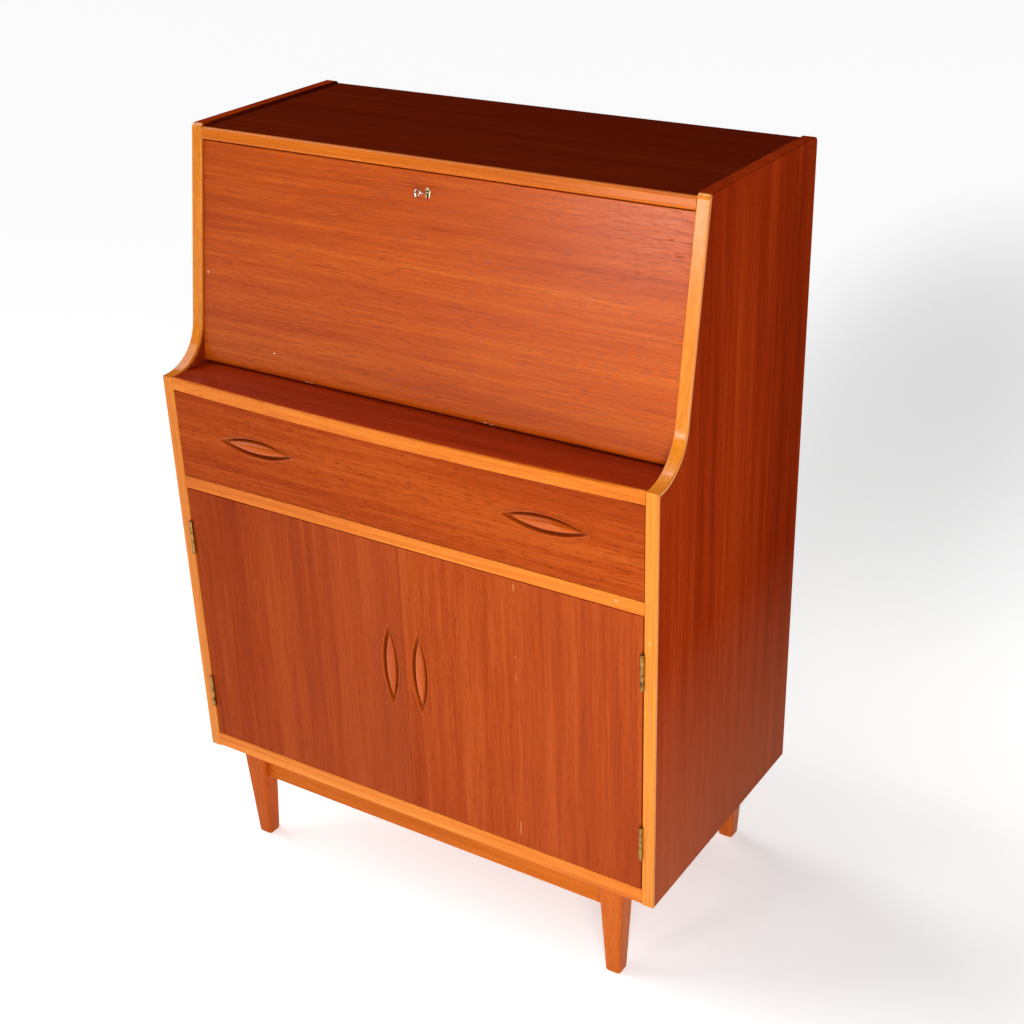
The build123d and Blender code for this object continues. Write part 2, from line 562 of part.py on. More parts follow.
# ---- slotted stays: bar on the fall, stud in the side panel ----
studs = []
heading = degrees(atan2(STUD_Z - RIVET_Z, STUD_Y - RIVET_Y))
for name, side in SIDES.items():
    disc = rod(side * INNER, side * (INNER - 1.5), STUD_Y, STUD_Z, 10.5)
    stem = rod(side * (INNER - 1.5), side * (STAY_X - 2.0), STUD_Y, STUD_Z, STUD)
    button = rod(side * (STAY_X - 1.6), side * (STAY_X - 3.1), STUD_Y, STUD_Z, 4.6)
    studs.append(cut_by(disc + stem + button, stud_screws(side)))
    bar_length = OPEN_REACH + STUD + 8.0
    bar = Pos(0, bar_length / 2, 0) * Box(2.0, bar_length, 12.0)
    bar += rod(-1.0, 1.0, 0, 0, 6.0)
    bar += rod(-1.0, 1.0, bar_length, 0, 6.0)
    slot_wide = STUD + 0.3
    slot = block(-2, 2, SHUT_REACH - 0.8, OPEN_REACH + 0.4, -slot_wide, slot_wide)
    slot += rod(-2, 2, SHUT_REACH - 0.8, 0, slot_wide)
    slot += rod(-2, 2, OPEN_REACH + 0.4, 0, slot_wide)
    bar = bar - slot - rod(-2, 2, 0, 0, 2.0 + RUNNING)
    save(f"stay_bar_{name}", Pos(side * STAY_X, RIVET_Y, RIVET_Z) * Rot(heading, 0, 0) * bar)
save("stay_studs", joined(studs))

# ---- eye-shaped pulls, let into the drawer front and the doors ----


def eye_plan(inset):
    """Eye outline made of two arcs that meet in points, lying along X."""
    half_long = PULL_LONG / 2 - inset * PULL_LONG / PULL_WIDE
    half_wide = PULL_WIDE / 2 - inset
    upper = ThreePointArc((-half_long, 0), (0, half_wide), (half_long, 0))
    lower = ThreePointArc((half_long, 0), (0, -half_wide), (-half_long, 0))
    return make_face(upper + lower)


PULL_SEAT = 8.0
PULL_PROUD = 0.7
BOSS_PROUD = 3.6
GROOVE = 5.5


def pull():
    """One pull, its face on the plane y = 0 and its back towards +Y."""
    base = extrude(eye_plan(0), PULL_SEAT + PULL_PROUD)
    base -= Pos(0, 0, PULL_SEAT - GROOVE) * extrude(eye_plan(1.5), GROOVE + PULL_PROUD)
    boss = Pos(0, 0, PULL_SEAT - GROOVE) * extrude(eye_plan(6.2), GROOVE + BOSS_PROUD)
    boss = fillet(boss.edges().group_by(Axis.Z)[-1], 1.6)
    return Pos(0, PULL_SEAT, 0) * Rot(90, 0, 0) * (base + boss)


def pull_seat():
    seat = extrude(eye_plan(0), PULL_SEAT + 5.0)
    return Pos(0, PULL_SEAT, 0) * Rot(90, 0, 0) * seat


# ---- drawer ----
DRAWER_FACE_END = INNER - DRAWER_PLAY
DRAWER_FACE_FOOT = DRAWER_SILL + DRAWER_PLAY
DRAWER_FACE_TOP = LEDGE_LIP_FOOT - DRAWER_PLAY
DRAWER_OUT = INNER - 3.0
DRAWER_SIDE = 14.0
DRAWER_REAR = Y_BOARD_BACK - 28.5
DRAWER_FOOT = 611.0
DRAWER_TOP = 712.0
PLY = 4.0
PLY_FOOT = 619.0
HOUSING = 5.0

drawer_bottom = block(-DRAWER_OUT + DRAWER_SIDE - HOUSING, DRAWER_OUT - DRAWER_SIDE + HOUSING,
                      FACE_BACK - HOUSING, DRAWER_REAR, PLY_FOOT, PLY_FOOT + PLY)
drawer_front = block(-DRAWER_FACE_END, DRAWER_FACE_END, FACE_Y, FACE_BACK, DRAWER_FACE_FOOT, DRAWER_FACE_TOP)
drawer_front = ease_front(drawer_front, 0.8)
drawer_pulls = [Pos(side * DRAWER_PULL_X, FACE_Y, DRAWER_PULL_Z) * pull() for side in SIDES.values()]
seats = [Pos(side * DRAWER_PULL_X, FACE_Y, DRAWER_PULL_Z) * pull_seat() for side in SIDES.values()]
drawer_front = cut_by(drawer_front, seats + [drawer_bottom])
save("drawer_front", drawer_front)
save("drawer_pulls", joined(drawer_pulls))
save("drawer_bottom", drawer_bottom)
for name, side in SIDES.items():
    cheek = block(side * DRAWER_OUT, side * (DRAWER_OUT - DRAWER_SIDE), FACE_BACK, DRAWER_REAR,
                  DRAWER_FOOT, DRAWER_TOP)
    groove = block(side * (DRAWER_OUT + 1), side * (DRAWER_OUT - 7.0), FACE_BACK + 2.0, DRAWER_REAR + 1,
                   RUNNER_FOOT - 0.5, RUNNER_FOOT + RUNNER_TALL + 0.5)
    save(f"drawer_side_{name}", cut_by(cheek, [groove, drawer_bottom]))
back_end = DRAWER_OUT - DRAWER_SIDE
save("drawer_back", block(-back_end, back_end, DRAWER_REAR - 14.0, DRAWER_REAR - 2.0, PLY_FOOT + PLY,
                          DRAWER_TOP - 6))

runners = []
stops = []
for side in SIDES.values():
    runner = block(side * INNER, side * (INNER - RUNNER_WIDE), FACE_BACK + 5.0, Y_BOARD_BACK - 12.0,
                   RUNNER_FOOT, RUNNER_FOOT + RUNNER_TALL)
    runners.append(cut_by(runner, runner_screws(side)))
    stops.append(block(side * 150, side * 190, FACE_BACK + 0.3, FACE_BACK + 20.0, DRAWER_SILL,
                       DRAWER_SILL + 6.0))
save("drawer_runners", joined(runners))
save("drawer_stops", joined(stops))

# ---- doors ----
leaves_on_carcass = []
pins = []
for name, side in SIDES.items():
    near = side * DOOR_MEETING / 2
    far = side * (INNER - HINGE_PLAY)
    near_back = near + side * MEETING_BEVEL
    plan = Polyline((near, FACE_Y), (far, FACE_Y), (far, FACE_BACK), (near_back, FACE_BACK), close=True)
    door_tall = RAIL_FOOT - DOOR_SILL - 2 * DOOR_PLAY
    door = Pos(0, 0, DOOR_SILL + DOOR_PLAY) * extrude(make_face(plan), door_tall)
    ring = door.faces().sort_by(Axis.Y)[0].edges()
    door = fillet(ring, 0.3)
    leaves = [hinge_leaf(side, height, False) for height in HINGE_HEIGHTS]
    screws = hinge_screws(side, False)
    strike_tab = block(side * 33, side * 63, FACE_BACK, FACE_BACK + 1.2, DUST_UNDER - 13.5, DUST_UNDER - 4.5)
    tab_screw = Rot(-90, 0, 0) * screw(10.0, head=2.4, shank=1.2)
    tab_screw = Pos(side * 48, FACE_BACK + 1.2, DUST_UNDER - 9.0) * tab_screw
    strike_tab -= tab_screw
    turned = Rot(0, 90, 0)
    place = Pos(side * DOOR_PULL_X, FACE_Y, DOOR_PULL_Z)
    door = cut_by(door, leaves + screws + knuckle_notches(side) + [tab_screw, place * turned * pull_seat()])
    save(f"door_{name}", door)
    save(f"door_pull_{name}", place * turned * pull())
    save(f"door_hinge_leaves_{name}", joined([cut_by(leaf, screws) for leaf in leaves] + screws))
    save(f"door_catch_plate_{name}", joined([strike_tab, tab_screw]))
    x_pin, y_pin = hinge_axis(side)
    for height in HINGE_HEIGHTS:
        own = hinge_screws(side, True)
        leaves_on_carcass.append(cut_by(hinge_leaf(side, height, True), own))
        half = HINGE_LENGTH / 2
        pins.append(post(x_pin, y_pin, height - half, height + half, DOOR_PIN))
save("hinge_leaves_carcass", joined(leaves_on_carcass))
save("hinge_pins", joined(pins))
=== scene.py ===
import bpy
from math import radians
from mathutils import Matrix, Vector


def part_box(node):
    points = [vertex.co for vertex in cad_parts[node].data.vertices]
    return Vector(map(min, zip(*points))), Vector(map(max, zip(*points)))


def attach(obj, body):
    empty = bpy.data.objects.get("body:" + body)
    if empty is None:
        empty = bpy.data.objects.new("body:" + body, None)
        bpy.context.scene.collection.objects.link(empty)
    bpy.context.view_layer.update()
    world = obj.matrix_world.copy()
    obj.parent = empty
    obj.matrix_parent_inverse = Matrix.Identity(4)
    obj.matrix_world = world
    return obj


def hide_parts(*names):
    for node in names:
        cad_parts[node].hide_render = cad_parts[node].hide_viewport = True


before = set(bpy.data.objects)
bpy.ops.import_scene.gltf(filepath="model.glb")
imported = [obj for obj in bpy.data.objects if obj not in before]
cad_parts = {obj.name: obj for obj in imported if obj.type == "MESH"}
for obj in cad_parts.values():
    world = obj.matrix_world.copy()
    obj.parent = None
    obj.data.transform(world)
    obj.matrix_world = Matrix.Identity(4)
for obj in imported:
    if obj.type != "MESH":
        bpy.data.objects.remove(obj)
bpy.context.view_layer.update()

# ---- side panels ----
# Two boards faced in straight-grained teak, cut to a raked, swept front edge.
# The veneer runs up the desk. Every veneered piece below uses the same recipe.


def add(tree, kind, inputs=None, **settings):
    """Adds a node. inputs maps a socket's name or number to a value or to an output to link."""
    made = tree.nodes.new(kind)
    for name, value in settings.items():
        setattr(made, name, value)
    for name, value in (inputs or {}).items():
        if isinstance(value, bpy.types.NodeSocket):
            tree.links.new(value, made.inputs[name])
        else:
            made.inputs[name].default_value = value
    return made


def calc(tree, operation, a, b=0.0):
    """One step of arithmetic on numbers or outputs."""
    return add(tree, "ShaderNodeMath", {0: a, 1: b}, operation=operation).outputs[0]


def tone(red, green, blue):
    """A display colour, given out of 255, as the linear colour a shader takes."""
    def linear(value):
        value = value / 255
        return value / 12.92 if value <= 0.04045 else ((value + 0.055) / 1.055) ** 2.4
    return (linear(red), linear(green), linear(blue), 1.0)


def ramp(tree, factor, stops):
    """A colour ramp through (place, colour) stops."""
    made = add(tree, "ShaderNodeValToRGB", {"Fac": factor})
    band = made.color_ramp
    while len(band.elements) < len(stops):
        band.elements.new(0.5)
    for element, (place, colour) in zip(band.elements, stops):
        element.position = place
        element.color = colour
    return made.outputs["Color"]


def blend_colour(tree, factor, below, above):
    """The colour below where factor is 0, and the one above where it is 1."""
    made = add(tree, "ShaderNodeMix", data_type="RGBA")
    for socket, value in ((made.inputs[0], factor), (made.inputs[6], below), (made.inputs[7], above)):
        if isinstance(value, bpy.types.NodeSocket):
            tree.links.new(value, socket)
        else:
            socket.default_value = value
    return made.outputs[2]


def finish_material(name):
    """An empty material and its main shader."""
    material = bpy.data.materials.new(name)
    material.use_nodes = True
    return material, material.node_tree, material.node_tree.nodes["Principled BSDF"]


GRAIN_X = (1, 0, 0)
GRAIN_Y = (0, 1, 0)
GRAIN_Z = (0, 0, 1)


def stretched(tree, grain, along, across, shift=(0, 0, 0)):
    """Object coordinates with `along` cycles a metre on the grain and `across` cycles off it."""
    place = add(tree, "ShaderNodeTexCoord").outputs["Object"]
    scale = [along if axis else across for axis in grain]
    mapping = add(tree, "ShaderNodeMapping", {"Vector": place, "Location": shift, "Scale": scale})
    return mapping.outputs["Vector"]


def noise(tree, vector, detail=3.0, roughness=0.5, distortion=0.0):
    """Cloudy noise from 0 to 1, its scale already in the vector."""
    made = add(tree, "ShaderNodeTexNoise", {
        "Vector": vector, "Scale": 1.0, "Detail": detail, "Roughness": roughness,
        "Distortion": distortion})
    return made.outputs["Fac"]


def step(tree, value, low, high):
    """0 below low, 1 above high, a straight rise between."""
    made = add(tree, "ShaderNodeMapRange", {"Value": value, "From Min": low, "From Max": high})
    return made.outputs["Result"]


def wood(name, grain, dark, middle, light, shift=(0, 0, 0), figure=1.0, pores=0.55, gloss=0.36,
         coat=0.05, shine=0.20, patches=None):
    """Wood or veneer: drifting tone, growth bands, fine lines and short dark pores."""
    material, tree, shader = finish_material(name)
    drift = noise(tree, stretched(tree, grain, 0.9, 7.0, shift), 2.0, 0.5, 0.3)
    bands = noise(tree, stretched(tree, grain, 1.6, 62.0, shift), 4.0, 0.6, 0.25)
    lines = noise(tree, stretched(tree, grain, 9.0, 480.0, shift), 4.0, 0.65)
    flecks = noise(tree, stretched(tree, grain, 75.0, 1500.0, shift), 2.0, 0.5)
    mixed = calc(tree, "ADD", calc(tree, "MULTIPLY", drift, 0.50 * figure),
                 calc(tree, "MULTIPLY", bands, 0.45 * figure))
    mixed = calc(tree, "ADD", mixed, calc(tree, "MULTIPLY", lines, 0.40))
    centre = (0.95 * figure + 0.40) / 2
    factor = step(tree, mixed, centre - 0.20, centre + 0.20)
    colour = ramp(tree, factor, [(0.0, dark), (0.5, middle), (1.0, light)])
    pore = step(tree, flecks, 0.56, 0.70)
    shade = (*(c * 0.55 for c in dark[:3]), 1.0)
    colour = blend_colour(tree, calc(tree, "MULTIPLY", pore, pores), colour, shade)
    if patches:
        colour = patches(tree, colour)
    tree.links.new(colour, shader.inputs["Base Color"])
    rough = calc(tree, "ADD", calc(tree, "MULTIPLY", lines, 0.16), gloss - 0.08)
    rough = calc(tree, "ADD", rough, calc(tree, "MULTIPLY", pore, 0.12))
    tree.links.new(rough, shader.inputs["Roughness"])
    height = calc(tree, "SUBTRACT", calc(tree, "MULTIPLY", lines, 0.5), pore)
    bump = add(tree, "ShaderNodeBump", {"Height": height, "Strength": 0.22, "Distance": 0.0002})
    tree.links.new(bump.outputs["Normal"], shader.inputs["Normal"])
    shader.inputs["Coat Weight"].default_value = coat
    shader.inputs["Coat Roughness"].default_value = 0.16
    shader.inputs["Specular IOR Level"].default_value = shine
    return material


def dress(material, *nodes):
    """Gives CAD pieces a material in place of their plain one."""
    for name in nodes:
        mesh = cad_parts[name].data
        mesh.materials.clear()
        mesh.materials.append(material)




def painted_floor_reflection(tree, colour):
    """Painted reflection: the sides are made paler low down, standing in for the pale floor they reflect."""
    place = add(tree, "ShaderNodeTexCoord").outputs["Object"]
    height = add(tree, "ShaderNodeSeparateXYZ", {0: place}).outputs["Z"]
    painted_reflection = calc(tree, "MULTIPLY", step(tree, height, 0.52, 0.18), 0.34)
    return blend_colour(tree, painted_reflection, colour, tone(196, 126, 94))


side_dark, side_middle, side_light = tone(124, 33, 8), tone(155, 47, 12), tone(180, 66, 20)
# The sides carry a painted reflection of the floor: paler low down.
for side, shift in (("left", (0.0, 3.1, 0.0)), ("right", (0.0, 0.4, 0.0))):
    dress(wood(f"teak_side_{side}", GRAIN_Z, side_dark, side_middle, side_light, shift, figure=1.1,
               gloss=0.5, coat=0.0, shine=0.0, patches=painted_floor_reflection), f"side_panel_{side}")

# ---- side lippings ----
# A strip of paler solid teak glued round each side's front edge and its sweep.
# Its arrises are rounded over by hand and polished by use.


def scuffs(amount, colour):
    """Small pale marks where an edge has been knocked."""
    def marks(tree, below):
        spots = noise(tree, stretched(tree, GRAIN_X, 55.0, 55.0, (0.7, 0.2, 0.1)), 3.0, 0.7)
        where = calc(tree, "MULTIPLY", step(tree, spots, 0.70, 0.76), amount)
        return blend_colour(tree, where, below, colour)
    return marks


lip_dark, lip_middle, lip_light = tone(186, 86, 16), tone(216, 112, 24), tone(236, 140, 44)
lip_scuffs = scuffs(0.45, tone(240, 180, 120))
lip_upright = wood("teak_lipping_upright", GRAIN_Z, tone(190, 94, 16), tone(219, 125, 28), tone(238, 152, 50),
                   (0.3, 0.1, 0.0),
                   figure=0.6, pores=0.30, gloss=0.28, coat=0.35, shine=0.1, patches=lip_scuffs)
dress(lip_upright, "side_lipping_left", "side_lipping_right")

# ---- top, with its lipping ----
# A veneered board let in just below the tops of the sides, grain running across.
# A round-nosed strip of paler teak finishes its front edge.
# Painted shade: the top is given a much darker tone than the same teak veneer on the front, standing in for
# the dim light that falls on the top.
top_veneer_painted_shade = wood("teak_top_painted_shade", GRAIN_X, tone(84, 20, 5), tone(98, 26, 7), tone(114, 36, 10),
                  (0.2, 1.3, 0.0), gloss=0.45, coat=0.0, shine=0.0)
dress(top_veneer_painted_shade, "top_panel")
lip_across = wood("teak_lipping_across", GRAIN_X, lip_dark, lip_middle, lip_light, (1.9, 0.1, 0.4),
                  figure=1.1, pores=0.40, gloss=0.28, coat=0.12, shine=0.1, patches=lip_scuffs)
dress(lip_across, "top_lipping")

# ---- ledge, writing bed and the boards below ----
# Boards housed between the sides. The front edges of the ledge and of the two rails
# are lipped in paler teak, and the ledge bows gently forward.
ledge_veneer = wood("teak_ledge", GRAIN_X, tone(118, 28, 6), tone(147, 41, 9), tone(174, 60, 16),
                    (0.9, 2.2, 0.0), gloss=0.30, coat=0.0, shine=0.10)
dress(ledge_veneer, "desk_board", "bed_panel")
dress(lip_across, "ledge_lipping", "mid_rail_lipping", "bottom_lipping")
inner_board = wood("teak_inner_board", GRAIN_X, tone(140, 62, 26), tone(168, 84, 40), tone(192, 108, 58),
                   (2.4, 0.5, 0.0), gloss=0.48, coat=0.0)
dress(inner_board, "dust_board", "bottom_board", "cupboard_shelf")

# ---- legs and underframe ----
# Four square tapered legs and the aprons between them, in solid teak.
# Corner blocks are screwed and glued inside the frame.
leg_dark, leg_middle, leg_light = tone(164, 66, 14), tone(194, 92, 26), tone(216, 118, 42)
leg_teak = wood("teak_leg", GRAIN_Z, leg_dark, leg_middle, leg_light, (0.8, 0.6, 0.2),
                figure=0.7, pores=0.40, gloss=0.36, coat=0.0, shine=0.06)
dress(leg_teak, "leg_front_left", "leg_front_right", "leg_rear_left", "leg_rear_right")
apron_tones = (tone(176, 80, 16), tone(206, 107, 28), tone(226, 134, 46))
apron_teak = wood("teak_apron", GRAIN_X, *apron_tones, (0.1, 0.9, 0.5), figure=0.8, pores=0.45,
                  gloss=0.40, coat=0.0, shine=0.04)
dress(apron_teak, "apron_front", "apron_rear")
side_apron_teak = wood("teak_side_apron", GRAIN_Y, *apron_tones, (0.1, 0.9, 0.5), figure=0.8, pores=0.45,
                       gloss=0.40, coat=0.0, shine=0.04)
dress(side_apron_teak, "apron_sides")

# ---- back, drawer bottom ----
# Thin plywood, its face grain upright.
# It is rebated into the sides and screwed on, and grooved into the drawer.
plywood = wood("plywood", GRAIN_Z, tone(150, 96, 52), tone(176, 122, 74), tone(196, 146, 96),
               (0.5, 0.0, 0.3), figure=1.2, pores=0.30, gloss=0.62, coat=0.0)
dress(plywood, "back_panel", "drawer_bottom")

# ---- hidden joinery ----
# The drawer's sides and back, runners, stops, corner blocks, the fall's stop and the
# letter rack, in pale waxed hardwood.
pale_tones = (tone(168, 112, 62), tone(194, 140, 86), tone(214, 166, 112))
pale_wood = wood("pale_hardwood", GRAIN_Y, *pale_tones, (0.2, 0.4, 0.6), figure=0.8, pores=0.25,
                 gloss=0.55, coat=0.0)
dress(pale_wood, "drawer_side_left", "drawer_side_right", "drawer_runners", "drawer_stops")
pale_across = wood("pale_hardwood_across", GRAIN_X, *pale_tones, (1.2, 0.4, 0.6), figure=0.8,
                   pores=0.25, gloss=0.55, coat=0.0)
dress(pale_across, "drawer_back", "corner_blocks", "rack_shelf", "fall_stop")
rack_wood = wood("pale_hardwood_rack", GRAIN_Z, *pale_tones, (2.2, 0.4, 0.6), figure=0.8,
                 pores=0.25, gloss=0.50, coat=0.0)
dress(rack_wood, "rack_uprights")

# ---- fall ----
# The writing flap: a veneered board, rounded at its foot where it turns on two pins.
# Knocks along the foot and one on the face have gone through to pale wood.


def chip(tree, colour, x, z, long, tall, pale):
    """One pale chip, an uneven oval at (x, z) on a front face."""
    place = add(tree, "ShaderNodeTexCoord").outputs["Object"]
    parts = add(tree, "ShaderNodeSeparateXYZ", {0: place})
    across = calc(tree, "DIVIDE", calc(tree, "SUBTRACT", parts.outputs["X"], x), long)
    up = calc(tree, "DIVIDE", calc(tree, "SUBTRACT", parts.outputs["Z"], z), tall)
    reach = calc(tree, "ADD", calc(tree, "MULTIPLY", across, across), calc(tree, "MULTIPLY", up, up))
    ragged = noise(tree, stretched(tree, GRAIN_X, 900.0, 900.0), 2.0, 0.6)
    reach = calc(tree, "ADD", reach, calc(tree, "MULTIPLY", ragged, 1.1))
    return blend_colour(tree, step(tree, reach, 1.45, 1.20), colour, pale)


fall_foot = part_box("fall_panel")[0].z
CHIP = tone(226, 190, 160)


def fall_marks(tree, colour):
    places = [(-0.184, 0.0035, 0.0030, 0.0014), (-0.176, 0.0030, 0.0020, 0.0012),
              (0.100, 0.0040, 0.0030, 0.0015), (0.109, 0.0030, 0.0036, 0.0012),
              (-0.355, 0.1240, 0.0012, 0.0024), (-0.238, 0.0330, 0.0022, 0.0010)]
    for x, up, long, tall in places:
        colour = chip(tree, colour, x, fall_foot + up, long, tall, CHIP)
    return colour


fall_veneer = wood("teak_fall", GRAIN_X, tone(150, 51, 9), tone(189, 79, 14), tone(218, 111, 26),
                   (0.4, 0.0, 1.7), figure=0.8, pores=0.85, gloss=0.23, coat=0.0, shine=0.22,
                   patches=fall_marks)
dress(fall_veneer, "fall_panel")

# ---- drawer front ----
# One leaf of open-pored veneer, a little darker than the fall.
# The grain runs across, and the pulls below are let into it.
drawer_veneer = wood("teak_drawer", GRAIN_X, tone(132, 44, 8), tone(166, 65, 14), tone(194, 92, 28),
                     (3.3, 0.0, 0.9), figure=0.9, pores=0.85, gloss=0.42, coat=0.0, shine=0.04)
dress(drawer_veneer, "drawer_front")

# ---- doors ----
# Upright veneer in several leaves, laid side by side. The joint between two leaves of
# the right door has opened here and there, which shows as a broken pale line.


def leaves(joints, worn):
    """Joints between veneer leaves at the given x: a faint edge, and pale gaps if worn."""
    def lay(tree, colour):
        place = add(tree, "ShaderNodeTexCoord").outputs["Object"]
        parts = add(tree, "ShaderNodeSeparateXYZ", {0: place})
        broken = noise(tree, stretched(tree, GRAIN_Z, 26.0, 3.0, (0.0, 0.0, 0.35)), 2.0, 0.5)
        for x in joints:
            side = step(tree, parts.outputs["X"], x - 0.0004, x + 0.0004)
            colour = blend_colour(tree, calc(tree, "MULTIPLY", side, 0.05), colour, tone(214, 112, 62))
            apart = calc(tree, "ABSOLUTE", calc(tree, "SUBTRACT", parts.outputs["X"], x))
            line = step(tree, apart, 0.0008, 0.0003)
            if worn:
                gap = calc(tree, "MULTIPLY", line, step(tree, broken, 0.56, 0.60))
                colour = blend_colour(tree, calc(tree, "MULTIPLY", gap, 0.8), colour, tone(222, 150, 100))
            else:
                colour = blend_colour(tree, calc(tree, "MULTIPLY", line, 0.25), colour, tone(96, 34, 14))
        return colour
    return lay


door_left = wood("teak_door_left", GRAIN_Z, tone(126, 40, 8), tone(152, 56, 13), tone(176, 78, 24),
                 (0.0, 5.0, 0.3), figure=0.95, pores=0.50, gloss=0.40, coat=0.0, shine=0.04,
                 patches=leaves((-0.232, -0.118), worn=False))
door_right = wood("teak_door_right", GRAIN_Z, tone(134, 44, 10), tone(163, 64, 17), tone(188, 88, 32),
                  (2.0, 5.0, 0.3), figure=0.95, pores=0.50, gloss=0.40, coat=0.0, shine=0.04,
                  patches=leaves((0.178,), worn=True))
dress(door_left, "door_left")
dress(door_right, "door_right")

# ---- pulls ----
# Eye-shaped finger pulls carved from solid teak and let in flush: a thin raised bead,
# a groove that takes the fingertips, and a lens-shaped boss to grip.


PULL_LONG = 0.133


def pull_tree():
    """Node tree that carves one eye-shaped pull and repeats it along a row."""
    tree = bpy.data.node_groups.new("eye_pull", "GeometryNodeTree")
    for name, kind, start in (
            ("Length", "NodeSocketFloat", PULL_LONG), ("Width", "NodeSocketFloat", 0.029),
            ("Groove", "NodeSocketFloat", 0.0068), ("Boss", "NodeSocketFloat", 0.0036),
            ("Bead", "NodeSocketFloat", 0.0009), ("Thickness", "NodeSocketFloat", 0.008),
            ("Count", "NodeSocketInt", 1), ("Spacing", "NodeSocketFloat", 0.45)):
        socket = tree.interface.new_socket(name, in_out="INPUT", socket_type=kind)
        socket.default_value = start
    tree.interface.new_socket("Wood", in_out="INPUT", socket_type="NodeSocketMaterial")
    tree.interface.new_socket("Geometry", in_out="OUTPUT", socket_type="NodeSocketGeometry")
    given = add(tree, "NodeGroupInput").outputs
    blank = add(tree, "GeometryNodeMeshGrid", {
        "Size X": 2.0, "Size Y": 2.0, "Vertices X": 161, "Vertices Y": 73}).outputs["Mesh"]
    place = add(tree, "ShaderNodeSeparateXYZ", {0: add(tree, "GeometryNodeInputPosition").outputs[0]})
    u, v = place.outputs["X"], place.outputs["Y"]
    narrowing = calc(tree, "SUBTRACT", 1.0, calc(tree, "MULTIPLY", u, u))
    narrowing = calc(tree, "MAXIMUM", narrowing, 0.004)
    half_wide = calc(tree, "MULTIPLY", calc(tree, "MULTIPLY", given["Width"], 0.5), narrowing)
    x = calc(tree, "MULTIPLY", calc(tree, "MULTIPLY", given["Length"], 0.5), u)
    y = calc(tree, "MULTIPLY", half_wide, v)
    from_edge = calc(tree, "SUBTRACT", half_wide, calc(tree, "ABSOLUTE", y))

    # the groove falls away inside the bead and runs out shallow at both tips
    fall_in = add(tree, "ShaderNodeMapRange", {
        "Value": from_edge, "From Min": 0.0012, "From Max": 0.0030}, interpolation_type="SMOOTHSTEP")
    deep = calc(tree, "MULTIPLY", given["Groove"], calc(tree, "POWER", narrowing, 0.5))
    floor = calc(tree, "MULTIPLY", calc(tree, "MULTIPLY", deep, fall_in.outputs[0]), -1.0)

    # the boss is a lens four fifths as long as the pull, with steep sides and a soft crown
    along = calc(tree, "DIVIDE", u, 0.82)
    lens_wide = calc(tree, "SUBTRACT", 1.0, calc(tree, "MULTIPLY", along, along))
    lens_wide = calc(tree, "MULTIPLY", calc(tree, "MAXIMUM", lens_wide, 0.0001), 0.0084)
    off = calc(tree, "DIVIDE", y, lens_wide)
    inside = calc(tree, "MAXIMUM", calc(tree, "SUBTRACT", 1.0, calc(tree, "MULTIPLY", off, off)), 0.0)
    crown = calc(tree, "POWER", inside, 0.42)
    lens_high = calc(tree, "MULTIPLY", crown, calc(tree, "ADD", given["Groove"], given["Boss"]))
    lens = calc(tree, "SUBTRACT", lens_high, given["Groove"])
    swell = calc(tree, "POWER", calc(tree, "MAXIMUM", calc(tree, "SUBTRACT", 1.0, calc(
        tree, "MULTIPLY", along, along)), 0.0), 0.5)
    lens = calc(tree, "SUBTRACT", calc(tree, "MULTIPLY", calc(tree, "ADD", lens, given["Groove"]), swell),
                given["Groove"])
    carved = calc(tree, "MAXIMUM", floor, lens)

    # the bead is a round ridge just inside the outline
    ridge = calc(tree, "DIVIDE", calc(tree, "SUBTRACT", from_edge, 0.0008), 0.0008)
    ridge = calc(tree, "MAXIMUM", calc(tree, "SUBTRACT", 1.0, calc(tree, "MULTIPLY", ridge, ridge)), 0.0)
    bead = calc(tree, "MULTIPLY", calc(tree, "POWER", ridge, 0.5), given["Bead"])
    height = calc(tree, "ADD", carved, bead)

    # the height is stored while the grid still holds u and v, then the grid becomes the outline
    stored = add(tree, "GeometryNodeStoreNamedAttribute", {
        "Geometry": blank, "Name": "carving", "Value": height}, data_type="FLOAT", domain="POINT")
    back = calc(tree, "MULTIPLY", given["Thickness"], -1.0)
    flat = add(tree, "ShaderNodeCombineXYZ", {"X": x, "Y": y, "Z": back}).outputs[0]
    outline = add(tree, "GeometryNodeSetPosition", {
        "Geometry": stored.outputs[0], "Position": flat}).outputs[0]
    lift = add(tree, "ShaderNodeCombineXYZ", {"Z": 1.0}).outputs[0]
    raised = add(tree, "GeometryNodeExtrudeMesh", {
        "Mesh": outline, "Offset": lift, "Offset Scale": given["Thickness"], "Individual": False},
        mode="FACES")
    carving = add(tree, "GeometryNodeInputNamedAttribute", {"Name": "carving"}, data_type="FLOAT")
    upward = add(tree, "ShaderNodeCombineXYZ", {"Z": carving.outputs[0]}).outputs[0]
    face = add(tree, "GeometryNodeSetPosition", {
        "Geometry": raised.outputs["Mesh"], "Selection": raised.outputs["Top"], "Offset": upward})
    underside = add(tree, "GeometryNodeFlipFaces", {"Mesh": outline})
    whole = add(tree, "GeometryNodeJoinGeometry")
    tree.links.new(face.outputs[0], whole.inputs[0])
    tree.links.new(underside.outputs[0], whole.inputs[0])
    closed = add(tree, "GeometryNodeMergeByDistance", {"Geometry": whole.outputs[0], "Distance": 0.00001})
    smooth = add(tree, "GeometryNodeSetShadeSmooth", {"Geometry": closed.outputs[0]})

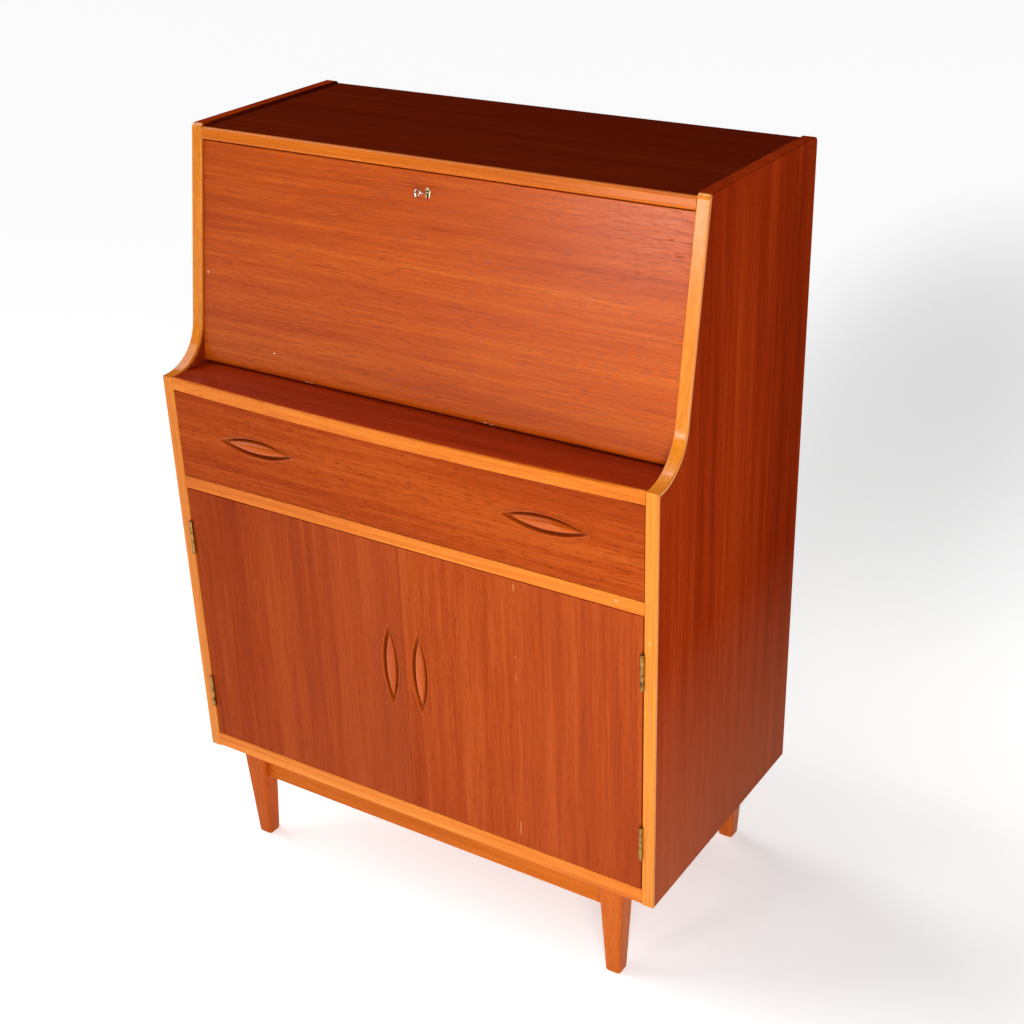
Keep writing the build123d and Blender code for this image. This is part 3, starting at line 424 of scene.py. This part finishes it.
    row = calc(tree, "MULTIPLY", given["Spacing"], calc(tree, "SUBTRACT", given["Count"], 1.0))
    start = add(tree, "ShaderNodeCombineXYZ", {"X": calc(tree, "MULTIPLY", row, -0.5)}).outputs[0]
    gap = add(tree, "ShaderNodeCombineXYZ", {"X": given["Spacing"]}).outputs[0]
    line = add(tree, "GeometryNodeMeshLine", {
        "Count": given["Count"], "Start Location": start, "Offset": gap}, mode="OFFSET")
    repeated = add(tree, "GeometryNodeInstanceOnPoints", {
        "Points": line.outputs[0], "Instance": smooth.outputs[0]})
    solid = add(tree, "GeometryNodeRealizeInstances", {"Geometry": repeated.outputs[0]})
    dressed = add(tree, "GeometryNodeSetMaterial", {"Geometry": solid.outputs[0], "Material": given["Wood"]})
    out = add(tree, "NodeGroupOutput")
    tree.links.new(dressed.outputs[0], out.inputs[0])
    return tree


def made_by(tree, name, **inputs):
    """The plain mesh that a node tree makes when its named inputs are set."""
    holder = bpy.data.objects.new(name, bpy.data.meshes.new(name))
    bpy.context.scene.collection.objects.link(holder)
    modifier = holder.modifiers.new(name, "NODES")
    modifier.node_group = tree
    for item in tree.interface.items_tree:
        if item.in_out == "INPUT" and item.name in inputs:
            modifier[item.identifier] = inputs[item.name]
    bpy.context.view_layer.update()
    graph = bpy.context.evaluated_depsgraph_get()
    mesh = bpy.data.meshes.new_from_object(holder.evaluated_get(graph))
    holder.modifiers.clear()
    holder.data = mesh
    return holder


def painted_groove_shade(tree, colour):
    """Painted shade: the wood is darkened the further it lies below the drawer's and doors' faces, standing
    in for the shade in the grooves.
    """
    place = add(tree, "ShaderNodeTexCoord").outputs["Object"]
    depth = add(tree, "ShaderNodeSeparateXYZ", {0: place}).outputs["Y"]
    deep = step(tree, depth, front_y + 0.0008, front_y + 0.0050)
    return blend_colour(tree, calc(tree, "MULTIPLY", deep, 0.65), colour, tone(84, 22, 5))


front_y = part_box("drawer_front")[0].y
carve = pull_tree()
# The pulls' materials carry painted shade in their grooves.
pull_dark, pull_middle, pull_light = tone(156, 58, 10), tone(188, 80, 14), tone(214, 106, 30)
pull_along = wood("teak_pull", GRAIN_X, pull_dark, pull_middle, pull_light,
                  (0.3, 0.3, 0.3), figure=0.6, pores=0.45, gloss=0.24, coat=0.25, shine=0.1,
                  patches=painted_groove_shade)
pull_upright = wood("teak_pull_upright", GRAIN_Z, pull_dark, pull_middle,
                    pull_light, (0.3, 0.9, 0.3), figure=0.6, pores=0.45, gloss=0.24, coat=0.25, shine=0.1,
                    patches=painted_groove_shade)
face_out = Matrix.Rotation(radians(90), 4, "X")
upright = Matrix.Rotation(radians(90), 4, "Y")
for cad_name, body, front, count, turn, grain_wood in (
        ("drawer_pulls", "drawer", "drawer_front", 2, Matrix(), pull_along),
        ("door_pull_left", "door_left", "door_left", 1, upright, pull_upright),
        ("door_pull_right", "door_right", "door_right", 1, upright, pull_upright)):
    low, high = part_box(cad_name)
    middle = (low + high) / 2
    middle.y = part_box(front)[0].y
    settings = {"Count": count, "Wood": grain_wood}
    if count > 1:
        settings["Spacing"] = high.x - low.x - PULL_LONG
    piece = made_by(carve, f"carved_{cad_name}", **settings)
    piece.data.transform(Matrix.Translation(middle) @ turn @ face_out)
    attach(piece, body)
    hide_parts(cad_name)

# ---- brass: hinges, stays, bushes, lock case and keyhole ----
# Pressed and turned brass, gone dull and brown in clouds.
# The keyhole's plate is rubbed brighter than the rest.


def metal(name, clean, tarnish, rough, worn):
    """Metal with cloudy tarnish and fine handling scratches."""
    material, tree, shader = finish_material(name)
    clouds = noise(tree, stretched(tree, GRAIN_X, 140.0, 140.0), 4.0, 0.6)
    colour = blend_colour(tree, calc(tree, "MULTIPLY", step(tree, clouds, 0.42, 0.66), worn), clean, tarnish)
    tree.links.new(colour, shader.inputs["Base Color"])
    scratch = noise(tree, stretched(tree, GRAIN_Z, 260.0, 2600.0), 3.0, 0.6)
    roughness = calc(tree, "ADD", calc(tree, "MULTIPLY", clouds, 0.25), rough - 0.08)
    tree.links.new(roughness, shader.inputs["Roughness"])
    bump = add(tree, "ShaderNodeBump", {"Height": scratch, "Strength": 0.15, "Distance": 0.0001})
    tree.links.new(bump.outputs["Normal"], shader.inputs["Normal"])
    shader.inputs["Metallic"].default_value = 1.0
    return material


brass = metal("brass", tone(176, 134, 72), tone(84, 56, 26), 0.30, 1.0)
dress(brass, "hinge_leaves_carcass", "door_hinge_leaves_left", "door_hinge_leaves_right",
      "stay_bar_left", "stay_bar_right", "stay_brackets", "stay_studs", "fall_pivot_bushes",
      "strike_plate", "lock_case", "lock_bolt", "shelf_pegs")
bright_brass = metal("bright_brass", tone(236, 214, 168), tone(170, 130, 76), 0.24, 0.5)
dress(bright_brass, "escutcheon")

# ---- steel: screws, pins, catches and the key ----
# Plain steel, a little tarnished.
# The key is nickel-plated and bright from use.
steel = metal("steel", tone(176, 172, 166), tone(92, 84, 76), 0.34, 0.6)
dress(steel, "carcass_screws", "fall_screws", "hinge_pins", "fall_pivot_pins", "door_catches",
      "door_catch_plate_left", "door_catch_plate_right")
nickel = metal("nickel", tone(222, 210, 206), tone(150, 132, 126), 0.16, 0.4)
dress(nickel, "key")

# ---- floor, light and camera ----
# A pale, faintly glowing floor with a painted shadow, a soft grey patch behind the desk on its right.
# A wide soft sky lights it from the left, a key lamp from close by on the right in front,
# a weak card on the left puts a sheen on the fall, and a small lamp hangs overhead.
floor_mesh = bpy.data.meshes.new("floor")
reach = 40.0    # metres from the middle to each edge
floor_mesh.from_pydata([(-reach, -reach, 0), (reach, -reach, 0), (reach, reach, 0), (-reach, reach, 0)],
                       [], [(0, 1, 2, 3)])
floor = bpy.data.objects.new("floor", floor_mesh)
bpy.context.scene.collection.objects.link(floor)
floor_finish, floor_tree, floor_shader = finish_material("pale_floor")
floor_shader.inputs["Base Color"].default_value = (0.80, 0.80, 0.80, 1.0)
floor_shader.inputs["Emission Color"].default_value = (1.0, 1.0, 1.0, 1.0)
# Painted shadow: a soft spherical patch dims the floor's glow behind the desk on its right.
spot = add(floor_tree, "ShaderNodeTexCoord").outputs["Object"]
painted_shadow_place = add(floor_tree, "ShaderNodeMapping", {
    "Vector": spot, "Location": (0.0, 1.9, 0.0), "Rotation": (0.0, 0.0, radians(9)),
    "Scale": (0.80, 2.6, 1.0)}, vector_type="TEXTURE")
painted_shadow = add(floor_tree, "ShaderNodeTexGradient", {"Vector": painted_shadow_place.outputs[0]},
             gradient_type="SPHERICAL")
soft = add(floor_tree, "ShaderNodeMapRange", {"Value": painted_shadow.outputs["Fac"]},
           interpolation_type="SMOOTHERSTEP")
floor_glow, painted_shadow_depth = 0.54, 0.30
glow = calc(floor_tree, "SUBTRACT", floor_glow, calc(floor_tree, "MULTIPLY", soft.outputs[0], painted_shadow_depth))
floor_tree.links.new(glow, floor_shader.inputs["Emission Strength"])
floor_shader.inputs["Roughness"].default_value = 0.9
floor_shader.inputs["Specular IOR Level"].default_value = 0.1
floor_mesh.materials.append(floor_finish)

world = bpy.data.worlds.new("studio")
world.use_nodes = True
bpy.context.scene.world = world
sky = world.node_tree.nodes["Background"]
seen = add(world.node_tree, "ShaderNodeLightPath").outputs["Is Camera Ray"]
backdrop_glow, ambient = 0.93, 0.02
brightness = calc(world.node_tree, "ADD", calc(world.node_tree, "MULTIPLY", seen, backdrop_glow), ambient)
world.node_tree.links.new(brightness, sky.inputs["Strength"])
sky.inputs["Color"].default_value = (1.0, 1.0, 1.0, 1.0)


def lamp(name, place, aim, size, watts):
    """A square soft lamp at place, turned to face aim."""
    data = bpy.data.lights.new(name, "AREA")
    data.shape = "SQUARE"
    data.size = size
    data.energy = watts
    made = bpy.data.objects.new(name, data)
    bpy.context.scene.collection.objects.link(made)
    made.location = place
    towards = Vector(aim) - Vector(place)
    made.rotation_euler = towards.to_track_quat("-Z", "Y").to_euler()


lamp("key_light", (1.15, -1.50, 0.90), (0.1, 0.0, 0.60), 0.7, 20.0)
lamp("sheen_light", (-0.85, -2.6, 1.18), (0.1, 0.0, 0.90), 0.45, 11.0)

lamp("ceiling_lamp", (-0.45, -0.15, 3.0), (0.0, 0.0, 0.9), 0.2, 8.0)

sun_data = bpy.data.lights.new("left_sky", "SUN")
sun_data.energy = 2.5
sun_data.angle = radians(55)
sun = bpy.data.objects.new("left_sky", sun_data)
bpy.context.scene.collection.objects.link(sun)
sun.rotation_euler = Vector((1.0, 0.10, -0.80)).to_track_quat("-Z", "Y").to_euler()

camera_data = bpy.data.cameras.new("camera")
camera_data.lens = 58.05
camera_data.sensor_width = 36.0
camera_data.shift_x = -0.010
camera_data.shift_y = 0.0335
camera = bpy.data.objects.new("camera", camera_data)
bpy.context.scene.collection.objects.link(camera)
azimuth, elevation, roll = radians(33.053), radians(27.70), radians(-1.711)
camera.matrix_world = (Matrix.Translation((1.1663, -1.6921, 1.5754)) @ Matrix.Rotation(azimuth, 4, "Z")
                       @ Matrix.Rotation(radians(90) - elevation, 4, "X") @ Matrix.Rotation(roll, 4, "Z"))
bpy.context.scene.camera = camera
bpy.context.scene.view_settings.view_transform = "Standard"
